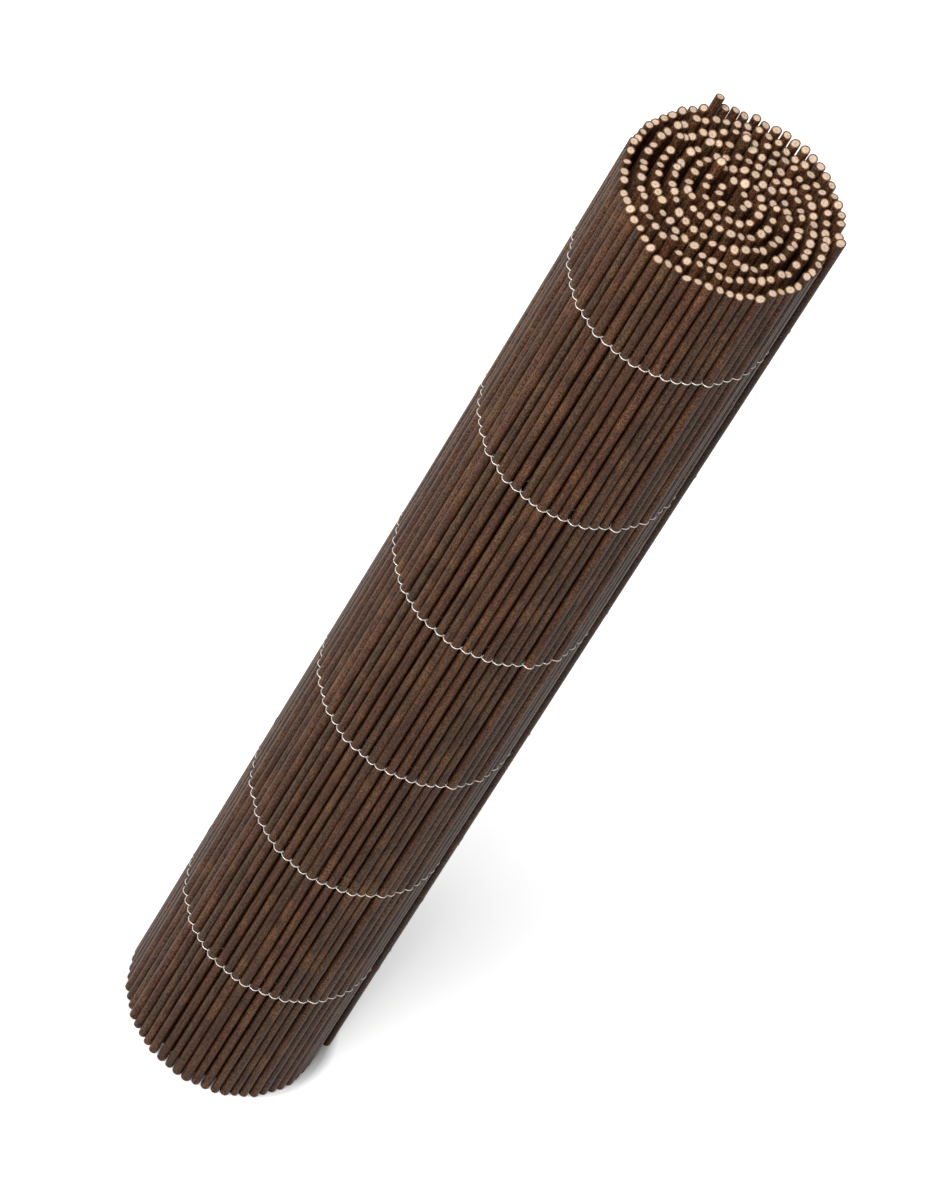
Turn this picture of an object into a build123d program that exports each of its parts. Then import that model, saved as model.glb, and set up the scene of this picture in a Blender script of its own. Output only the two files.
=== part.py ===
"""A rolled willow screen, standing on end: willow rods laid side by side and tied by rows of steel wire.

The mat is rolled up loosely. Its rods stand upright, their lower ends level on the ground and their upper
ends uneven and cut at a slant. Each row of wire follows the outer face of the mat through every turn and
hooks behind the last rod at both ends. Millimetres, +Z up along the rods, and the origin under the middle
of the roll's outline.
"""

from build123d import *

import os
from math import cos, floor, radians, sin, tau
from random import Random

# Rods
rod_count = 249
rod_length = 1500.0
rod_diameter = 9.5  # of a middling rod
diameter_spread = 1.0  # the thickest and thinnest rods differ from the middling one by this much
rod_spacing = 1.2  # free space between neighbours in the mat, where the wires twist
spacing_spread = 0.5
outer_rod_sides = 8
inner_rod_sides = 6

# Uneven ends
standing_share = 0.15  # this share of the rods reach the ground
foot_lift = 1.6  # the others stop at most this far above it
length_spread = 6.0  # rods are cut up to this much longer or shorter
long_rod_share = 0.03
long_rod_extra = 15.0  # the few long rods stick out by this much more
cut_slant = 22.0  # degrees, the steepest slant of a cut end

# Wire rows
wire_diameter = 1.2
foot_margin = 197.0  # from the ground to the lowest row
top_margin = 143.0  # from the highest row to the upper end of a middling rod
row_places = (0, 0.184, 0.368, 0.565, 0.780, 1)  # of the rows between the lowest and the highest
wire_clearance = 0.1  # between the wire and each rod
chords_per_turn = 18  # the wire runs straight over a few rods at a time
hook_room = 0.3  # between the last rod's side and the wire that turns in beside it

# Roll
core_radius = 14.0  # from the middle of the roll to the wire where the mat starts
turn_clearance = 0.4  # between the wire and the next turn's rods on the tight side
turn_slack = 3.4  # extra room between turns on the loose side
loose_side = radians(-105)  # seen from above, from +X towards +Y
inner_edge = radians(68)  # direction in which the mat's inner edge lies
outer_edge = radians(9)  # direction in which its outer edge lies
outer_tuck = 0.7  # how much of each turn's drop to the next is put off until it slips under the outer edge
tuck_width = 0.12  # of a turn, over which it then drops
tuck_growth = 8.0  # turns from the core to where the tuck is full

thickest_rod = rod_diameter + diameter_spread
tight_turn_pitch = thickest_rod + wire_diameter + 2 * wire_clearance + turn_clearance
chord_angle = tau / chords_per_turn
chance = Random(18)


def corner(chord):
    """Where the wire's middle line bends, at the start of a chord counted outwards from the mat's inner edge."""
    direction = inner_edge - chord * chord_angle
    turns = chord / chords_per_turn
    from_edge = (direction - outer_edge) % tau / tau
    dropping = max(0, 1 - (1 - from_edge) / tuck_width)
    put_off = from_edge - dropping**2 * (3 - 2 * dropping)
    level = turns + outer_tuck * (turns / tuck_growth) ** 2 * put_off
    slack = turn_slack * (1 + cos(direction - loose_side)) / 2
    radius = core_radius + level * (tight_turn_pitch + slack)
    return Vector(radius * cos(direction), radius * sin(direction))


def chord_frame(chord):
    """A chord's start, the way it runs and the way it faces, away from the middle of the roll."""
    start = corner(chord)
    run = (corner(chord + 1) - start).normalized()
    return start, run, Vector(-run.Y, run.X)


def mat_point(angle, depth):
    """The point at this depth inside the wire's middle line, at an angle turned from the mat's inner edge."""
    direction = inner_edge - angle
    ray = Vector(cos(direction), sin(direction))
    nearest = floor(angle / chord_angle)
    reaches = []
    for chord in (nearest - 1, nearest, nearest + 1):
        start, run, outward = chord_frame(chord)
        reaches.append((start.dot(outward) - depth) / ray.dot(outward))
    return ray * min(reaches)


def rod_depth(diameter):
    """How deep a rod's middle line lies inside the wire's middle line."""
    return wire_diameter / 2 + wire_clearance + diameter / 2


def lay_rods():
    """Lays the rods side by side along the wire: the angle and the diameter of each, from the inner edge out."""
    rods = []
    angle = 0.0
    diameter = rod_diameter
    for number in range(rod_count):
        next_diameter = rod_diameter + diameter_spread * chance.triangular(-1, 1, 0)
        if number:
            here = mat_point(angle, rod_depth(diameter))
            distance = (diameter + next_diameter) / 2 + rod_spacing + spacing_spread * chance.uniform(-1, 1)
            step = distance / here.length
            for _ in range(4):
                step *= distance / (mat_point(angle + step, rod_depth(next_diameter)) - here).length
            angle += step
        diameter = next_diameter
        rods.append((angle, diameter))
    return rods


def willow_rod(angle, diameter, sides):
    """One rod, with a corner of its section against the wire and its upper end cut at a slant."""
    middle = mat_point(angle, rod_depth(diameter))
    corners = []
    for side in range(sides):
        turned = inner_edge - angle + side * tau / sides
        corners.append((middle.X + diameter / 2 * cos(turned), middle.Y + diameter / 2 * sin(turned)))
    foot = 0.0 if chance.random() < standing_share else foot_lift * chance.random()
    top = rod_length + length_spread * chance.triangular(-1, 1, 0)
    if chance.random() < long_rod_share:
        top += long_rod_extra
    slant = cut_slant * chance.random()
    facing = 360 * chance.random()
    stock = Pos(0, 0, foot) * extrude(Polygon(*corners, align=None), top + diameter - foot)
    cut = Plane.XY.offset(top).move(Location((middle.X, middle.Y, 0))) * Rot(0, 0, facing) * Rot(slant, 0, 0)
    return split(stock, bisect_by=Plane(cut), keep=Keep.BOTTOM)


def strip(path, width):
    """The outline of a strip of this width that follows a path of straight runs, its corners mitred."""
    runs = [(end - start).normalized() for start, end in zip(path, path[1:])]
    one_side, other_side = [], []
    for point, before, after in zip(path, runs[:1] + runs, runs + runs[-1:]):
        across = Vector(-before.Y - after.Y, before.X + after.X).normalized()
        reach = width / 2 / across.dot(Vector(-before.Y, before.X))
        one_side.append(point + across * reach)
        other_side.append(point - across * reach)
    return Polygon(*[(point.X, point.Y) for point in one_side + other_side[::-1]], align=None)


def hook(angle, diameter, side):
    """The wire's bend round an end rod: its tip behind the rod, then the two corners beside the rod."""
    start, run, outward = chord_frame(floor(angle / chord_angle))
    middle = mat_point(angle, rod_depth(diameter))
    beside = middle + run * side * (diameter / 2 + hook_room + wire_diameter / 2)
    behind = outward * -rod_depth(diameter)
    return [middle + behind, beside + behind, beside + outward * (start - middle).dot(outward)]


def wire_path(rods):
    """The middle line of a wire row, from its hook behind the first rod to its hook behind the last."""
    first_corner = floor(rods[0][0] / chord_angle) + 1
    last_corner = floor(rods[-1][0] / chord_angle)
    corners = [corner(chord) for chord in range(first_corner, last_corner + 1)]
    return hook(*rods[0], -1) + corners + hook(*rods[-1], 1)[::-1]


def wire_row(path, height):
    return Pos(0, 0, height - wire_diameter / 2) * extrude(strip(path, wire_diameter), wire_diameter)


rods = lay_rods()
mat_angle = rods[-1][0]
nodes = {}
for angle, diameter in rods[::-1]:
    turn = floor((mat_angle - angle) / tau) + 1  # turns are counted from the mat's outer edge
    sides = outer_rod_sides if turn == 1 else inner_rod_sides
    nodes.setdefault(f"willow_rods_turn_{turn}", []).append(willow_rod(angle, diameter, sides))

path = wire_path(rods)
for row, place in enumerate(row_places, start=1):
    height = foot_margin + place * (rod_length - foot_margin - top_margin)
    nodes[f"wire_row_{row}"] = [wire_row(path, height)]

outline = Compound([solid for node in nodes.values() for solid in node]).bounding_box()
centred = Location((-outline.center().X, -outline.center().Y, 0))
os.makedirs("parts", exist_ok=True)
for name, node in nodes.items():
    export_step(Compound([centred * solid for solid in node]), f"parts/{name}.step")
print("outline", outline.size, "turns", mat_angle / tau)
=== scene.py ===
import random
from math import atan2, cos, pi, radians, sin, tau

import bmesh
import bpy
from mathutils import Matrix, Vector


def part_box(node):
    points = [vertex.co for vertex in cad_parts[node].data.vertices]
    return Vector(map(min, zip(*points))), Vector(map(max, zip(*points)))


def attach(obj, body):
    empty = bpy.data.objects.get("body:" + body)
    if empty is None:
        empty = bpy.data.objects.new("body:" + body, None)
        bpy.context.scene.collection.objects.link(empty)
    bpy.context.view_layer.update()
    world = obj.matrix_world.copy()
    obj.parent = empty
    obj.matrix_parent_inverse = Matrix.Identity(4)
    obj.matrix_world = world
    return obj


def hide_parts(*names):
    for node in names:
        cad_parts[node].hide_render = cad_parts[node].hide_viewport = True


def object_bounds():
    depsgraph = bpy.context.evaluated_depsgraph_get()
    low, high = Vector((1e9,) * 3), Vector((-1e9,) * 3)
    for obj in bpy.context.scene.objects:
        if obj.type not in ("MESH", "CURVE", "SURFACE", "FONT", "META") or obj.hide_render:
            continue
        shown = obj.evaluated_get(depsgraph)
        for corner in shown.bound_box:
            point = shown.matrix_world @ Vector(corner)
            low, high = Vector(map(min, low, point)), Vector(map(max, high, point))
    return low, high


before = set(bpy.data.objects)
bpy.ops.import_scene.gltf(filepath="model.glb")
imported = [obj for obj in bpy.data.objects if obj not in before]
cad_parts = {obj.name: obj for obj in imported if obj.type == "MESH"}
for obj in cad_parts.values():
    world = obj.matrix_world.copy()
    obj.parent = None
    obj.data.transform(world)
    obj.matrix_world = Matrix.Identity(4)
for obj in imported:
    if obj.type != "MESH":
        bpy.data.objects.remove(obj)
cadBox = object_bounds()
mm = 0.001
up = Vector((0, 0, 1))


# Materials

def srgb(hexColour):
    channels = [int(hexColour[i:i + 2], 16) / 255 for i in (1, 3, 5)]
    return [c / 12.92 if c <= 0.04045 else ((c + 0.055) / 1.055) ** 2.4 for c in channels] + [1.0]


def addNode(material, kind, settings=None, **inputs):
    # one node with its settings and its links; an input is a value or another node's output socket
    node = material.node_tree.nodes.new("ShaderNode" + kind)
    for name, value in (settings or {}).items():
        setattr(node, name, value)
    for name, value in inputs.items():
        key = int(name[1:]) if name[0] == "i" and name[1:].isdigit() else name.replace("_", " ")
        if isinstance(value, bpy.types.NodeSocket):
            material.node_tree.links.new(value, node.inputs[key])
        else:
            node.inputs[key].default_value = value
    return node


def newMaterial(name):
    material = bpy.data.materials.new(name)
    material.use_nodes = True
    material.node_tree.nodes.clear()
    return material


def finishMaterial(material, **inputs):
    shader = addNode(material, "BsdfPrincipled", **inputs)
    output = addNode(material, "OutputMaterial")
    material.node_tree.links.new(shader.outputs[0], output.inputs["Surface"])
    return material


def ramp(material, factor, *stops):
    node = addNode(material, "ValToRGB", Fac=factor)
    while len(node.color_ramp.elements) < len(stops):
        node.color_ramp.elements.new(0.5)
    for element, (place, hexColour) in zip(node.color_ramp.elements, stops):
        element.position = place
        element.color = srgb(hexColour)
    return node.outputs["Color"]


def willowBark():
    # Willow rod with its bark on, cut and dried: thin, smooth bark with a faint shine, dull brown with redder
    # and greyer rods among them, a fine lengthwise grain, rusty patches, mottling and small corky specks
    bark = {
        "streakWidth": 2.2 * mm,
        "streakLength": 60 * mm,
        "wrinkleWidth": 0.7 * mm,  # real wrinkles are about half as wide, too fine to show
        "wrinkleLength": 9 * mm,
        "speckSize": 2.6 * mm,
        "speckLength": 5.72 * mm,
        "patchSize": 45 * mm,
        "mottleSize": 1.6 * mm,
        "reliefDepth": 0.35 * mm,
        "ownShift": 7.0,  # m, how far apart the pattern lies on the palest and the darkest rod
    }
    m = newMaterial("willowBark")
    place = addNode(m, "TexCoord").outputs["Object"]
    tone = addNode(m, "Attribute", {"attribute_name": "rodTone"}).outputs["Fac"]
    hue = addNode(m, "Attribute", {"attribute_name": "rodHue"}).outputs["Fac"]
    along = addNode(m, "Math", {"operation": "MULTIPLY"}, i0=tone, i1=bark["ownShift"]).outputs[0]
    shift = addNode(m, "CombineXYZ", Z=along).outputs[0]
    own = addNode(m, "VectorMath", {"operation": "ADD"}, i0=place, i1=shift).outputs[0]

    def lengthwise(width, length):
        return addNode(m, "Mapping", {"vector_type": "POINT"}, Vector=own,
                       Scale=(1 / width, 1 / width, 1 / length)).outputs[0]

    streaks = addNode(m, "TexNoise", Vector=lengthwise(bark["streakWidth"], bark["streakLength"]),
                      Scale=1.0, Detail=3.0, Roughness=0.6).outputs["Fac"]
    wrinkles = addNode(m, "TexNoise", Vector=lengthwise(bark["wrinkleWidth"], bark["wrinkleLength"]),
                       Scale=1.0, Detail=2.0, Roughness=0.55).outputs["Fac"]
    patches = addNode(m, "TexNoise", Vector=own, Scale=1 / bark["patchSize"], Detail=2.0).outputs["Fac"]
    mottle = addNode(m, "TexNoise", Vector=own, Scale=1 / bark["mottleSize"], Detail=1.0).outputs["Fac"]
    specks = addNode(m, "TexVoronoi", {"feature": "F1"},
                     Vector=lengthwise(bark["speckSize"], bark["speckLength"]), Scale=1.0).outputs["Distance"]

    darkBrown = ramp(m, streaks, (0.25, "#342117"), (0.5, "#4B3122"), (0.78, "#67462F"))
    redBrown = ramp(m, streaks, (0.25, "#372118"), (0.5, "#523424"), (0.78, "#6D4732"))
    greyBrown = ramp(m, streaks, (0.25, "#33241A"), (0.5, "#4A3526"), (0.78, "#654A35"))
    warm = addNode(m, "MapRange", i0=hue, i1=0.45, i2=0.8).outputs[0]
    grey = addNode(m, "MapRange", i0=hue, i1=0.35, i2=0.05).outputs[0]
    colour = addNode(m, "Mix", {"data_type": "RGBA"}, i0=warm, i6=darkBrown, i7=redBrown).outputs[2]
    colour = addNode(m, "Mix", {"data_type": "RGBA"}, i0=grey, i6=colour, i7=greyBrown).outputs[2]
    rust = addNode(m, "MapRange", i0=patches, i1=0.5, i2=0.72, i3=0.0, i4=0.4).outputs[0]
    colour = addNode(m, "Mix", {"data_type": "RGBA"}, i0=rust, i6=colour, i7=srgb("#74502F")).outputs[2]
    speckMask = addNode(m, "MapRange", i0=specks, i1=0.2, i2=0.1, i3=0.0, i4=0.35).outputs[0]
    colour = addNode(m, "Mix", {"data_type": "RGBA"}, i0=speckMask, i6=colour, i7=srgb("#8D7152")).outputs[2]
    light = addNode(m, "MapRange", i0=tone, i1=0.0, i2=1.0, i3=0.84, i4=1.16).outputs[0]
    blotch = addNode(m, "MapRange", i0=patches, i1=0.3, i2=0.7, i3=0.9, i4=1.1).outputs[0]
    mottled = addNode(m, "MapRange", i0=mottle, i1=0.4, i2=0.6, i3=0.35, i4=1.76).outputs[0]
    light = addNode(m, "Math", {"operation": "MULTIPLY"}, i0=light, i1=mottled).outputs[0]
    light = addNode(m, "Math", {"operation": "MULTIPLY"}, i0=light, i1=blotch).outputs[0]
    colour = addNode(m, "HueSaturation", Color=colour, Value=light).outputs[0]
    relief = addNode(m, "Math", {"operation": "ADD"}, i0=wrinkles, i1=speckMask).outputs[0]
    bump = addNode(m, "Bump", Height=relief, Strength=0.6, Distance=bark["reliefDepth"]).outputs[0]
    rough = addNode(m, "MapRange", i0=streaks, i1=0.2, i2=0.8, i3=0.28, i4=0.4).outputs[0]
    return finishMaterial(m, Base_Color=colour, Roughness=rough, Normal=bump, IOR=1.45,
                          Specular_IOR_Level=0.1)


def cutWillow():
    # Sawn willow end grain: pale pink to cream wood, a little torn, with a small dark pith and darker
    # towards the bark
    endGrain = {
        "fibreSize": 1.8 * mm,  # real fibres are too fine to show
        "tearDepth": 0.25 * mm,
    }
    m = newMaterial("cutWillow")
    place = addNode(m, "TexCoord").outputs["Object"]
    fromPith = addNode(m, "Attribute", {"attribute_name": "fromPith"}).outputs["Fac"]
    tone = addNode(m, "Attribute", {"attribute_name": "rodTone"}).outputs["Fac"]
    fibre = addNode(m, "TexNoise", Vector=place, Scale=1 / endGrain["fibreSize"], Detail=3.0).outputs["Fac"]
    wavy = addNode(m, "MapRange", i0=fibre, i1=0.3, i2=0.7, i3=-0.16, i4=0.16).outputs[0]
    radius = addNode(m, "Math", {"operation": "ADD"}, i0=fromPith, i1=wavy).outputs[0]
    pinkWood = ramp(m, radius, (0.05, "#A58E7B"), (0.15, "#BDA594"), (0.78, "#C3AB9A"), (0.97, "#8A6D56"))
    yellowWood = ramp(m, radius, (0.05, "#A99479"), (0.15, "#C4AD93"), (0.78, "#CAB49A"), (0.97, "#8E7255"))
    hue = addNode(m, "Attribute", {"attribute_name": "rodHue"}).outputs["Fac"]
    wood = addNode(m, "Mix", {"data_type": "RGBA"}, i0=hue, i6=pinkWood, i7=yellowWood).outputs[2]
    light = addNode(m, "MapRange", i0=tone, i1=0.0, i2=1.0, i3=0.84, i4=1.08).outputs[0]
    torn = addNode(m, "MapRange", i0=fibre, i1=0.35, i2=0.62, i3=0.78, i4=1.1).outputs[0]
    light = addNode(m, "Math", {"operation": "MULTIPLY"}, i0=light, i1=torn).outputs[0]
    colour = addNode(m, "HueSaturation", Color=wood, Value=light).outputs[0]
    bump = addNode(m, "Bump", Height=fibre, Strength=0.5, Distance=endGrain["tearDepth"]).outputs[0]
    return finishMaterial(m, Base_Color=colour, Roughness=0.85, Normal=bump, IOR=1.45,
                          Specular_IOR_Level=0.2)


def galvanisedWire():
    # Thin galvanised steel wire: zinc coated and dull, so light grey with soft highlights
    zinc = {"spangleSize": 2.5 * mm}
    m = newMaterial("galvanisedWire")
    place = addNode(m, "TexCoord").outputs["Object"]
    spangle = addNode(m, "TexNoise", Vector=place, Scale=1 / zinc["spangleSize"], Detail=2.0).outputs["Fac"]
    colour = ramp(m, spangle, (0.3, "#C2BDB7"), (0.7, "#E2DDD7"))
    rough = addNode(m, "MapRange", i0=spangle, i1=0.3, i2=0.7, i3=0.48, i4=0.34).outputs[0]
    return finishMaterial(m, Base_Color=colour, Roughness=rough, Metallic=0.4)


barkMaterial = willowBark()
cutMaterial = cutWillow()
wireMaterial = galvanisedWire()
print("materials made")


# Willow rods

willow = {
    "outerSides": 12, "innerSides": 10,
    "outerRings": 9, "innerRings": 4,
    "fullness": 1.05,  # radius against that of the source's rods, whose flats lie further in
    "thinEnd": 0.92,  # width of the thin end against the thick end
    "bow": 1.3 * mm,  # how far a rod strays from straight
    "bends": 3,  # waves along the rod, each lower than the one before
    "toneSpread": 0.22,  # of the rods' lightness, which runs from 0 to 1
    "mostKnots": 4,
    "knotsFrom": 0.06, "knotsTo": 0.94,  # of the rod's length
    "knotSwell": 0.45 * mm,
    "knotHalfLength": 8 * mm,
    "barkThickness": 1.0 * mm,
}
footEnd = 0.1  # m, every corner of a CAD rod that lies lower is one of its foot's
squareCut = Vector((0, 0))


def rodsOf(node, turn):
    # each separate rod of a CAD node: its middle line, foot, radius and the plane of its cut end
    bm = bmesh.new()
    bm.from_mesh(node.data)
    bmesh.ops.remove_doubles(bm, verts=bm.verts, dist=0.01 * mm)
    rods, left = [], set(bm.verts)
    while left:
        island, reached = [], [left.pop()]
        while reached:
            vert = reached.pop()
            island.append(vert.co.copy())
            for other in (e.other_vert(vert) for e in vert.link_edges):
                if other in left:
                    left.discard(other)
                    reached.append(other)
        feet = [co for co in island if co.z < footEnd]
        tops = [co for co in island if co.z >= footEnd]
        middle = sum((co.xy for co in feet), Vector((0, 0))) / len(feet)
        height = sum(co.z for co in tops) / len(tops)
        spread = sum((co.xy - middle).length_squared for co in tops) / 2
        slope = sum(((co.xy - middle) * (co.z - height) for co in tops), Vector((0, 0))) / spread
        radius = max((co.xy - middle).length for co in feet)
        rods.append({
            "turn": turn, "at": middle, "foot": feet[0].z, "top": height, "slope": slope, "radius": radius,
        })
    bm.free()
    return rods


def heading(place, centre):
    away = place - centre
    return atan2(away.y, away.x)


def matInOrder(rodNodes):
    # the rods of all turns, in the order in which they lie in the mat, from its outer edge inwards; the edge
    # is where the outermost turn steps out most
    turns = [rodsOf(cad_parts[name], turn) for turn, name in enumerate(rodNodes, start=1)]
    enoughForCentre = 7
    inner = next(rods for rods in reversed(turns) if len(rods) >= enoughForCentre)
    centre = sum((rod["at"] for rod in inner), Vector((0, 0))) / len(inner)
    outer = sorted(turns[0], key=lambda rod: heading(rod["at"], centre))
    reaches = [(rod["at"] - centre).length for rod in outer]
    steps = [reach - before for before, reach in zip(reaches[-1:] + reaches, reaches)]
    first = steps.index(max(steps))
    between = (outer[first]["at"] + outer[first - 1]["at"]) / 2
    edge = heading(between, centre)
    mat = []
    for rods in turns:
        mat += sorted(rods, key=lambda rod: (heading(rod["at"], centre) - edge) % tau)
    return mat


def giveCharacter(rods, seed):
    # each rod's own bends, taper, knots and colour
    draw = random.Random(seed)
    for rod in rods:
        rod["bends"] = []
        for wave in range(1, willow["bends"] + 1):
            turned = Matrix.Rotation(draw.uniform(0, tau), 2)
            rod["bends"].append(turned @ Vector((willow["bow"] * draw.uniform(0.2, 1.0) / wave, 0)))
        rod["thickEndUp"] = draw.random() < 0.5
        knots = draw.randint(1, willow["mostKnots"]) if rod["turn"] == 1 else 0
        rod["knots"] = [draw.uniform(willow["knotsFrom"], willow["knotsTo"]) for _ in range(knots)]
        rod["tone"] = min(1, max(0, draw.gauss(0.5, willow["toneSpread"])))
        rod["hue"] = draw.random()


def middleAt(rod, z):
    # where the rod's middle line runs at this height
    share = (z - rod["foot"]) / (rod["top"] - rod["foot"])
    offset = Vector((0, 0))
    for wave, bend in enumerate(rod["bends"], start=1):
        offset += bend * sin(wave * pi * share)
    return rod["at"] + offset


def radiusAt(rod, z):
    share = (z - rod["foot"]) / (rod["top"] - rod["foot"])
    fromThick = 1 - share if rod["thickEndUp"] else share
    return rod["radius"] * willow["fullness"] * (1 - (1 - willow["thinEnd"]) * fromThick)


def ringHeights(rod):
    # heights of the rod's rings, and how much it swells there
    rings = willow["outerRings"] if rod["turn"] == 1 else willow["innerRings"]
    length = rod["top"] - rod["foot"]
    half = willow["knotHalfLength"]
    heights = [(rod["foot"] + length * ring / (rings - 1), 0) for ring in range(rings)]
    for knot in rod["knots"]:
        z = rod["foot"] + length * knot
        clearOfRings = min(abs(z - other) for other, _ in heights) > 3 * half
        if clearOfRings:
            heights += [(z - half, 0), (z, willow["knotSwell"]), (z + half, 0)]
    return sorted(heights)


def placeRing(ring, rod, z, radius, slope):
    middle = middleAt(rod, z)
    for number, vert in enumerate(ring):
        out = Vector((cos(number * tau / len(ring)), sin(number * tau / len(ring)))) * radius
        vert.co = (middle.x + out.x, middle.y + out.y, z + slope.dot(out))


def ringEdges(ring):
    members = set(ring)
    return list({edge for vert in ring for edge in vert.link_edges if edge.other_vert(vert) in members})


def nextRing(bm, ring):
    # extrudes the open ring and gives the new one, in the same order
    made = bmesh.ops.extrude_edge_only(bm, edges=ringEdges(ring))["geom"]
    new = {v for v in made if isinstance(v, bmesh.types.BMVert)}
    return [next(e.other_vert(vert) for e in vert.link_edges if e.other_vert(vert) in new) for vert in ring]


def closeEnd(bm, ring, rod, z, slope, layers):
    # a sawn end: the bark's rim, then the wood, which closes at the pith
    rim = nextRing(bm, ring)
    placeRing(rim, rod, z, radiusAt(rod, z) - willow["barkThickness"], slope)
    for vert in rim:
        vert[layers["fromPith"]] = 1.0
    wood = bmesh.ops.contextual_create(bm, geom=ringEdges(rim))["faces"]
    poked = bmesh.ops.poke(bm, faces=wood)
    for face in poked["faces"]:
        face.material_index = 1
    for vert in poked["verts"]:
        vert[layers["fromPith"]] = 0.0
    for edge in ringEdges(ring):
        edge.smooth = False


def addRod(bm, rod, layers):
    sides = willow["outerSides"] if rod["turn"] == 1 else willow["innerSides"]
    before = len(bm.verts)
    heights = ringHeights(rod)
    foot = bmesh.ops.create_circle(bm, segments=sides, radius=rod["radius"])["verts"]
    ring = foot
    for number, (z, swell) in enumerate(heights):
        if number:
            ring = nextRing(bm, ring)
        last = number == len(heights) - 1
        placeRing(ring, rod, z, radiusAt(rod, z) + swell, rod["slope"] if last else squareCut)
    for face in {face for vert in list(bm.verts)[before:] for face in vert.link_faces}:
        face.smooth = True
    closeEnd(bm, foot, rod, rod["foot"], squareCut, layers)
    closeEnd(bm, ring, rod, rod["top"], rod["slope"], layers)
    for vert in list(bm.verts)[before:]:
        vert[layers["rodTone"]] = rod["tone"]
        vert[layers["rodHue"]] = rod["hue"]


def addPiece(name, mesh, materials, node):
    for material in materials:
        mesh.materials.append(material)
    piece = bpy.data.objects.new(name, mesh)
    bpy.context.scene.collection.objects.link(piece)
    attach(piece, "root")
    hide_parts(node)
    return piece


def willowTurn(rods, node):
    bm = bmesh.new()
    layers = {name: bm.verts.layers.float.new(name) for name in ("rodTone", "rodHue", "fromPith")}
    for rod in rods:
        addRod(bm, rod, layers)
    bmesh.ops.recalc_face_normals(bm, faces=bm.faces)
    mesh = bpy.data.meshes.new(node)
    bm.to_mesh(mesh)
    bm.free()
    return addPiece(f"round_{node}", mesh, [barkMaterial, cutMaterial], node)


rodNodes = sorted(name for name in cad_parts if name.startswith("willow_rods_turn_"))
mat = matInOrder(rodNodes)
giveCharacter(mat, seed=5)
for turn, node in enumerate(rodNodes, start=1):
    willowTurn([rod for rod in mat if rod["turn"] == turn], node)
print("willow rods made:", len(mat))


# Wire rows

wire = {
    "diameter": 1.0 * mm,
    "bite": 0.12 * mm,  # how far the wire presses into the bark
    "overRod": (-40, -14, 14, 40),  # degrees round the rod at which the wire lies on it
    "crossing": 0.25 * mm,  # half the height between the two wires where they cross
    "crossingOut": 0.5,  # of the rod's radius, how far out of the mat's middle they cross
    "waver": 0.6 * mm,  # how far a row strays from level
    "waverPerRod": 0.21,  # radians of the waver's swing from rod to rod
    "jitter": 0.5,  # radians, at most, by which a rod is off that swing
    "bevelResolution": 1,
}


def acrossMat(order, number):
    # which way the mat runs at a rod, and which way it faces outwards
    before = order[max(number - 1, 0)]["at"]
    after = order[min(number + 1, len(order) - 1)]["at"]
    run = (after - before).normalized()
    return run, Vector((run.y, -run.x))


def strandPoints(order, z, wavers, startsOutside):
    # one wire of a pair: outside one rod, inside the next, crossing the other wire between them
    points = []
    for number, rod in enumerate(order):
        run, outwards = acrossMat(order, number)
        outside = (number % 2 == 0) == startsOutside
        face = outwards if outside else -outwards
        reach = radiusAt(rod, z) + wire["diameter"] / 2 - wire["bite"]
        level = z + wavers[number]
        for degrees in wire["overRod"]:
            turned = radians(degrees)
            at = middleAt(rod, z) + (face * cos(turned) + run * sin(turned)) * reach
            points.append((at.x, at.y, level))
        if number + 1 < len(order):
            other = order[number + 1]
            ahead = middleAt(other, z) - middleAt(rod, z)
            gap = ahead.length - radiusAt(rod, z) - radiusAt(other, z)
            at = middleAt(rod, z) + ahead.normalized() * (radiusAt(rod, z) + gap / 2)
            at += outwards * wire["crossingOut"] * radiusAt(rod, z)
            points.append((at.x, at.y, level + (wire["crossing"] if outside else -wire["crossing"])))
    return points


def wireRow(node, order):
    low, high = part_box(node)
    z = (low.z + high.z) / 2
    draw = random.Random(node)
    wavers = [
        wire["waver"] * sin(number * wire["waverPerRod"] + draw.random() * wire["jitter"])
        for number in range(len(order))
    ]
    curve = bpy.data.curves.new(node, "CURVE")
    curve.dimensions = "3D"
    curve.bevel_depth = wire["diameter"] / 2
    curve.bevel_resolution = wire["bevelResolution"]
    curve.use_fill_caps = True
    for startsOutside in (True, False):
        points = strandPoints(order, z, wavers, startsOutside)
        spline = curve.splines.new("POLY")
        spline.points.add(len(points) - 1)
        for point, co in zip(spline.points, points):
            point.co = (*co, 1)
    holder = bpy.data.objects.new(node, curve)
    mesh = bpy.data.meshes.new_from_object(holder)
    bpy.data.objects.remove(holder)
    mesh.shade_smooth()
    return addPiece(f"twisted_{node}", mesh, [wireMaterial], node)


for node in sorted(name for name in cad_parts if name.startswith("wire_row_")):
    wireRow(node, mat)
print("wire rows made")


# Floor, light and camera

studio = {
    "floorSize": 60,  # m
    "floorLift": 0.48,  # the white that the floor shows the camera beyond what its lamps give it
    "paintedShadeFull": 0.97,  # of the roll's half width: nearer to its middle the floor has no lift, a painted shade under the roll
    "paintedShadeEnd": 1.07,  # farther out it has all of it; between the two the lift fades in, a painted shadow ring round the foot
    "lampDistance": 8.0,  # m, from the middle of the roll
    "keyPower": 960, "keySize": 4.2, "keyFrom": (-0.46, -0.89), "keyHeight": radians(62),
    "fillPower": 70, "fillSize": 5.3, "fillFrom": (0.95, -0.3), "fillHeight": radians(30),
    "skyStrength": 0.06,
}


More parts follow.
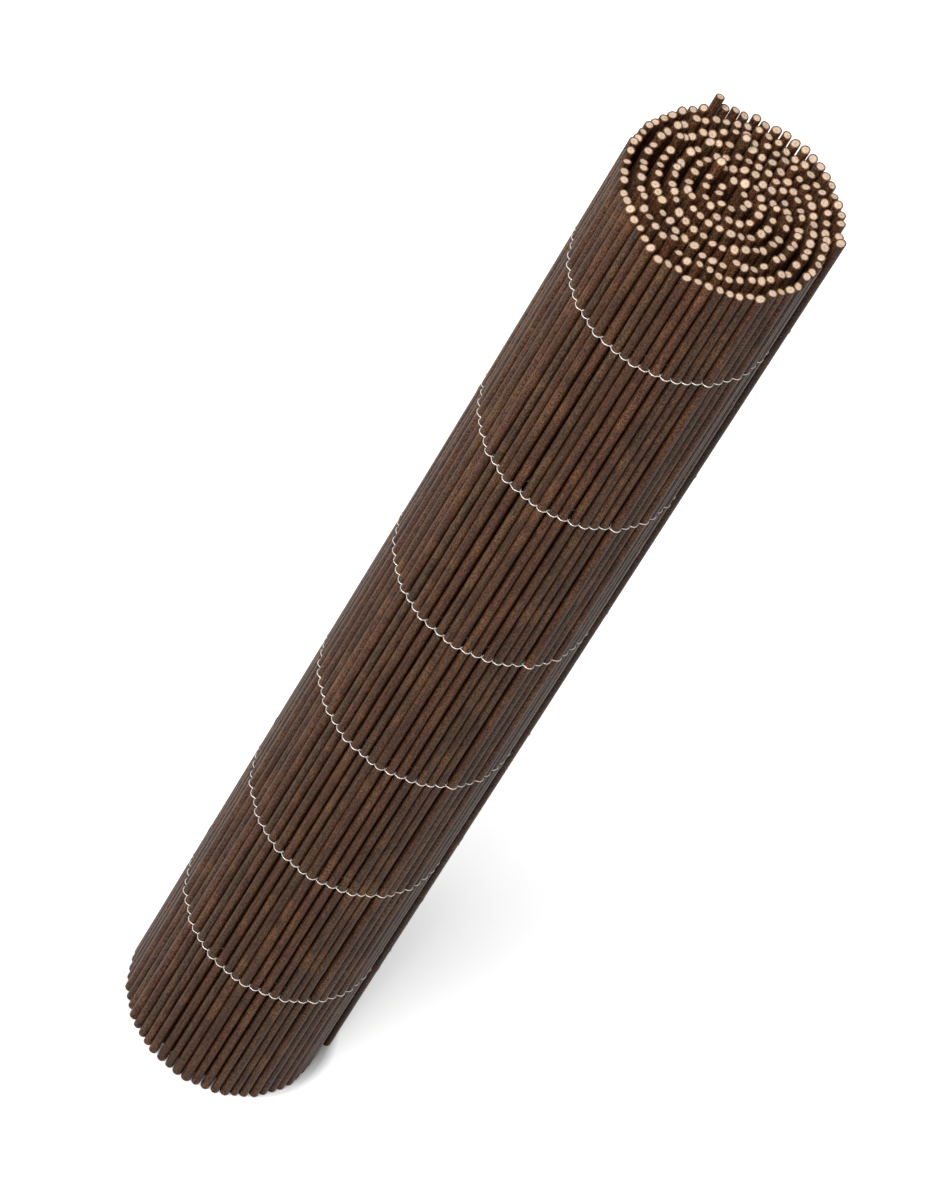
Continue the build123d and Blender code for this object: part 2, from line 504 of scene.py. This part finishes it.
def whiteFloor():
    # Seamless white paper: matte, lifted to plain white for the camera, but with painted shade under and just
    # round the roll, where the lift fades out, and throwing less light back up than real paper, as it lies
    # close on all sides
    m = newMaterial("whitePaper")
    ray = addNode(m, "LightPath").outputs
    seen = ray["Is Camera Ray"]
    mirrored = ray["Is Glossy Ray"]
    white = addNode(m, "Math", {"operation": "MAXIMUM"}, i0=seen, i1=mirrored).outputs[0]
    place = addNode(m, "TexCoord").outputs["Object"]
    fromRoll = addNode(m, "VectorMath", {"operation": "LENGTH"}, i0=place).outputs["Value"]
    halfWidth = cadBox[1].x
    # the lift fades out near the roll: painted shade under it and a painted shadow ring round its foot
    liftOutsidePaintedShade = addNode(m, "MapRange", i0=fromRoll, i1=halfWidth * studio["paintedShadeFull"],
                          i2=halfWidth * studio["paintedShadeEnd"], i3=0.0, i4=studio["floorLift"]).outputs[0]
    lift = addNode(m, "Math", {"operation": "MULTIPLY"}, i0=seen, i1=liftOutsidePaintedShade).outputs[0]
    bounced, shown = srgb("#9A9A9A"), srgb("#F4F4F4")
    tint = addNode(m, "Mix", {"data_type": "RGBA"}, i0=white, i6=bounced, i7=shown).outputs[2]
    finishMaterial(m, Base_Color=tint, Roughness=0.9, Emission_Color=(1, 1, 1, 1), Emission_Strength=lift)
    bm = bmesh.new()
    bmesh.ops.create_grid(bm, x_segments=1, y_segments=1, size=studio["floorSize"] / 2)
    mesh = bpy.data.meshes.new("floor")
    bm.to_mesh(mesh)
    bm.free()
    mesh.materials.append(m)
    floor = bpy.data.objects.new("floor", mesh)
    bpy.context.scene.collection.objects.link(floor)


def whiteSky():
    # white for the camera and in reflections, and a little even light for the rest
    world = bpy.data.worlds.new("whiteSky")
    world.use_nodes = True
    nodes, links = world.node_tree.nodes, world.node_tree.links
    nodes.clear()
    ray = nodes.new("ShaderNodeLightPath")
    seen = nodes.new("ShaderNodeMath")
    seen.operation = "MAXIMUM"
    links.new(ray.outputs["Is Camera Ray"], seen.inputs[0])
    links.new(ray.outputs["Is Glossy Ray"], seen.inputs[1])
    strength = nodes.new("ShaderNodeMapRange")
    strength.inputs["To Min"].default_value = studio["skyStrength"]
    strength.inputs["To Max"].default_value = 1.0
    links.new(seen.outputs[0], strength.inputs["Value"])
    sky = nodes.new("ShaderNodeBackground")
    sky.inputs["Color"].default_value = (1, 1, 1, 1)
    links.new(strength.outputs[0], sky.inputs["Strength"])
    output = nodes.new("ShaderNodeOutputWorld")
    links.new(sky.outputs[0], output.inputs["Surface"])
    bpy.context.scene.world = world


def softLamp(name, power, size, towards, height, distance, target):
    lamp = bpy.data.lights.new(name, "AREA")
    lamp.energy, lamp.size = power, size
    sideways = Vector((*towards, 0)).normalized()
    back = sideways * cos(height) + up * sin(height)
    holder = bpy.data.objects.new(name, lamp)
    holder.location = target + back * distance
    holder.rotation_euler = back.to_track_quat("Z", "Y").to_euler()
    bpy.context.scene.collection.objects.link(holder)


def photoCamera():
    # a long lens from above the front, rolled so that the screen leans to the right of the picture
    view = {
        "elevation": radians(52.3), "roll": radians(32.0), "distance": 11.041,
        "focalPixels": 11423, "pictureHeight": 1200, "sensor": 36.0, "clipEnd": 100,
        "aim": Vector((-0.0156, 0, 0.7819)),
    }
    back = Vector((0, -cos(view["elevation"]), sin(view["elevation"])))
    right = Vector((1, 0, 0))
    above = back.cross(right)
    rolledRight = right * cos(view["roll"]) + above * sin(view["roll"])
    rolledUp = above * cos(view["roll"]) - right * sin(view["roll"])
    data = bpy.data.cameras.new("photoCamera")
    data.sensor_width = view["sensor"]
    data.lens = view["focalPixels"] / view["pictureHeight"] * view["sensor"]
    data.clip_end = view["clipEnd"]
    camera = bpy.data.objects.new("photoCamera", data)
    turn = Matrix((rolledRight, rolledUp, back)).transposed().to_4x4()
    camera.matrix_world = Matrix.Translation(view["aim"] + back * view["distance"]) @ turn
    bpy.context.scene.collection.objects.link(camera)
    bpy.context.scene.camera = camera


whiteFloor()
whiteSky()
middle = Vector((0, 0, cadBox[1].z / 2))
softLamp("keyLamp", studio["keyPower"], studio["keySize"], studio["keyFrom"], studio["keyHeight"],
         studio["lampDistance"], middle)
softLamp("fillLamp", studio["fillPower"], studio["fillSize"], studio["fillFrom"], studio["fillHeight"],
         studio["lampDistance"], middle)
photoCamera()
bpy.context.scene.view_settings.view_transform = "Standard"
print("floor, light and camera made")
